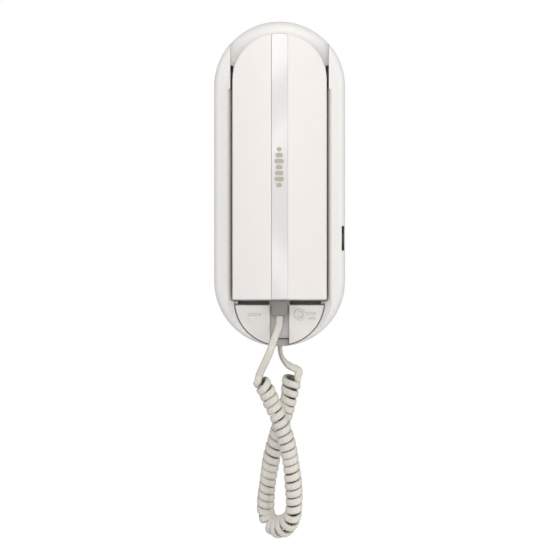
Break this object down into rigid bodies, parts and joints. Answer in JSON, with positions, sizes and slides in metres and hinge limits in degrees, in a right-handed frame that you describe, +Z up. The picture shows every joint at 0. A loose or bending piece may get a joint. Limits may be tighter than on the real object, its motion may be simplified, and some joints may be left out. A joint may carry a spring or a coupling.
{
  "type": "door-entry wall phone",
  "caption": "Slim white wall phone: a long handset lies in a round-ended housing above two keys, with a side volume slider and a hanging curly cord.",
  "frame": {"origin": "middle of the two wall screw holes, in the back plane that lies on the wall", "axes": "+X to the user's right, +Z up, -Y out of the wall towards the user"},
  "size_m": [0.0886, 0.05, 0.3498],
  "materials": {
    "white_plastic": "satin white moulded ABS",
    "key_plastic": "satin warm white",
    "gloss_band": "polished white",
    "grey_plastic": "fine matt",
    "black_plastic": "fine matt",
    "green_plastic": "satin",
    "taupe_plastic": "satin",
    "clear_grey_plastic": "smooth",
    "grey_boot": "satin",
    "cord_jacket": "smooth warm ivory PVC",
    "circuit_board": "solder mask",
    "zinc_steel": "zinc plated",
    "spring_steel": "drawn wire",
    "core_steel": "laminated",
    "copper_winding": "enamelled wire under tape",
    "capacitor_sleeve": "shrink sleeve",
    "foam": "open foam",
    "capsule_metal": "spun can",
    "black_rubber": "matt",
    "wire_insulation": "smooth PVC"
  },
  "bodies": {
    "base": {"wall_plate": "white_plastic", "housing_shell": "white_plastic", "housing_screws": "zinc_steel", "main_board": "circuit_board", "board_screws": "zinc_steel", "terminal_block": "green_plastic", "terminal_screws": "zinc_steel", "hook_switch": "black_plastic", "transformer_core": "core_steel", "transformer_winding": "copper_winding", "capacitor": "capacitor_sleeve", "interface_chip": "black_plastic", "setting_header": "black_plastic", "key_board": "circuit_board", "key_switches": "black_plastic", "board_cable": "grey_plastic", "ringer": "black_plastic", "base_socket": "taupe_plastic", "base_plug": "clear_grey_plastic", "volume_switch": "black_plastic", "hook_springs": "spring_steel", "call_key_spring": "spring_steel", "release_key_spring": "spring_steel", "cord_coil": "cord_jacket", "cord_lead_base": "cord_jacket"},
    "handset": {"handset_front": "white_plastic", "handset_band": "gloss_band", "handset_rear": "white_plastic", "handset_screws": "zinc_steel", "ear_gasket": "foam", "earpiece": "black_plastic", "microphone": "capsule_metal", "microphone_boot": "black_rubber", "handset_socket": "black_plastic", "handset_wires": "wire_insulation", "handset_plug": "grey_boot", "cord_lead_handset": "cord_jacket"},
    "hook": {"hook_plunger": "grey_plastic"},
    "call_key": {"call_key": "key_plastic"},
    "release_key": {"release_key": "key_plastic"},
    "volume_slider": {"volume_slider": "grey_plastic"}
  },
  "joints": [
    {"name": "handset_lift", "type": "slide", "parent": "base", "child": "handset", "axis": [0, -0.9397, 0.342], "range_m": [0, 0.05]},
    {"name": "hook_travel", "type": "slide", "parent": "base", "child": "hook", "axis": [0, -1, 0], "range_m": [0, 0.0038], "deforming": ["hook_springs"]},
    {"name": "call_key_press", "type": "hinge", "parent": "base", "child": "call_key", "pos_m": [0, -0.0256, -0.101], "axis": [-1, 0, 0], "range_deg": [0, 3.5], "stiffness_Nm_per_rad": 0.25, "springref_deg": -2.86, "deforming": ["call_key_spring"]},
    {"name": "release_key_press", "type": "hinge", "parent": "base", "child": "release_key", "pos_m": [0, -0.0256, -0.101], "axis": [-1, 0, 0], "range_deg": [0, 3.5], "stiffness_Nm_per_rad": 0.25, "springref_deg": -2.86, "deforming": ["release_key_spring"]},
    {"name": "volume_slide", "type": "slide", "parent": "base", "child": "volume_slider", "axis": [0, 0, 1], "range_m": [-0.004, 0.004]}
  ],
  "couplings": [
    {"joint": "hook_travel", "follows": "handset_lift", "ratio": 0.076}
  ]
}
